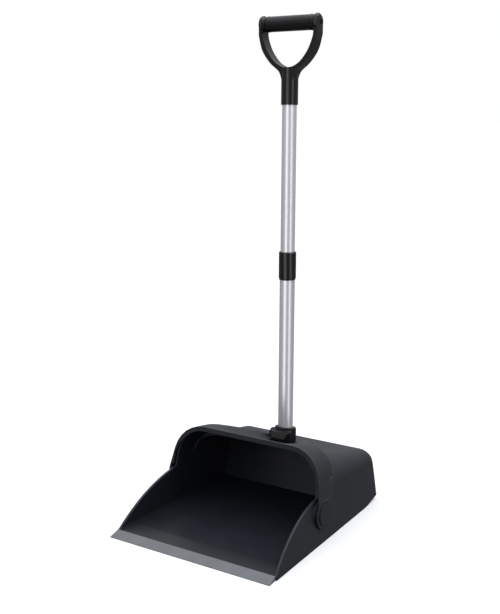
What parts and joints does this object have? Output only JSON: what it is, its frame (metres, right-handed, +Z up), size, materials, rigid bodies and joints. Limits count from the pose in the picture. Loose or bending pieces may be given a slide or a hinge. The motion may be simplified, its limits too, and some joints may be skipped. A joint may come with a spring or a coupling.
{
  "type": "long-handled dustpan",
  "caption": "Upright dustpan with a tilting arched yoke, thumb-screw pole socket, telescopic tube pole with twist-lock collar, and D-shaped hand grip.",
  "frame": {"origin": "centre of the object's footprint, on the floor the pan stands on", "axes": "+Z up along the pole, -Y towards the pan's open lip (front), +X to the right seen from the front"},
  "size_m": [0.2926, 0.367, 0.7984],
  "materials": {
    "charcoal_plastic": "fine satin moulded plastic",
    "lip_rubber": "matt soft strip",
    "black_plastic": "satin black moulded plastic",
    "gloss_black": "smooth glossy black plastic",
    "silver_tube": "satin anodised",
    "zinc_screw": "zinc plated",
    "brass_insert": "turned",
    "nylon": "natural nylon"
  },
  "bodies": {
    "pan": {"pan_body": "charcoal_plastic", "lip_strip": "lip_rubber", "pivot_washer_left": "nylon", "pivot_washer_right": "nylon", "pivot_screw_left": "zinc_screw", "pivot_screw_right": "zinc_screw"},
    "yoke": {"yoke": "charcoal_plastic", "pivot_cap_left": "charcoal_plastic", "pivot_cap_right": "charcoal_plastic", "pole_socket": "black_plastic", "socket_screw_left": "zinc_screw", "socket_screw_right": "zinc_screw", "threaded_insert": "brass_insert", "lower_tube": "silver_tube", "collet": "nylon"},
    "knob": {"thumb_knob": "black_plastic", "thumb_screw": "zinc_screw"},
    "collar": {"lock_collar": "gloss_black"},
    "upper": {"upper_tube": "silver_tube", "guide_bush": "nylon", "d_handle": "gloss_black", "grip_sleeve": "gloss_black", "grip_bolt": "zinc_screw", "grip_nut": "zinc_screw", "handle_screw": "zinc_screw"}
  },
  "joints": [
    {"name": "yoke_tilt", "type": "hinge", "parent": "pan", "child": "yoke", "pos_m": [0, -0.0175, 0.045], "axis": [1, 0, 0], "range_deg": [0, 30]},
    {"name": "thumb_knob_turn", "type": "hinge", "parent": "yoke", "child": "knob", "pos_m": [-0.0232, 0.1032, 0.1113], "axis": [1, 0, 0], "continuous": true},
    {"name": "collar_twist", "type": "hinge", "parent": "yoke", "child": "collar", "pos_m": [0, 0.1058, 0.402], "axis": [0, 0.0096, 1], "range_deg": [0, 90]},
    {"name": "pole_extend", "type": "slide", "parent": "yoke", "child": "upper", "axis": [0, 0.0096, 1], "range_m": [-0.21, 0]}
  ]
}
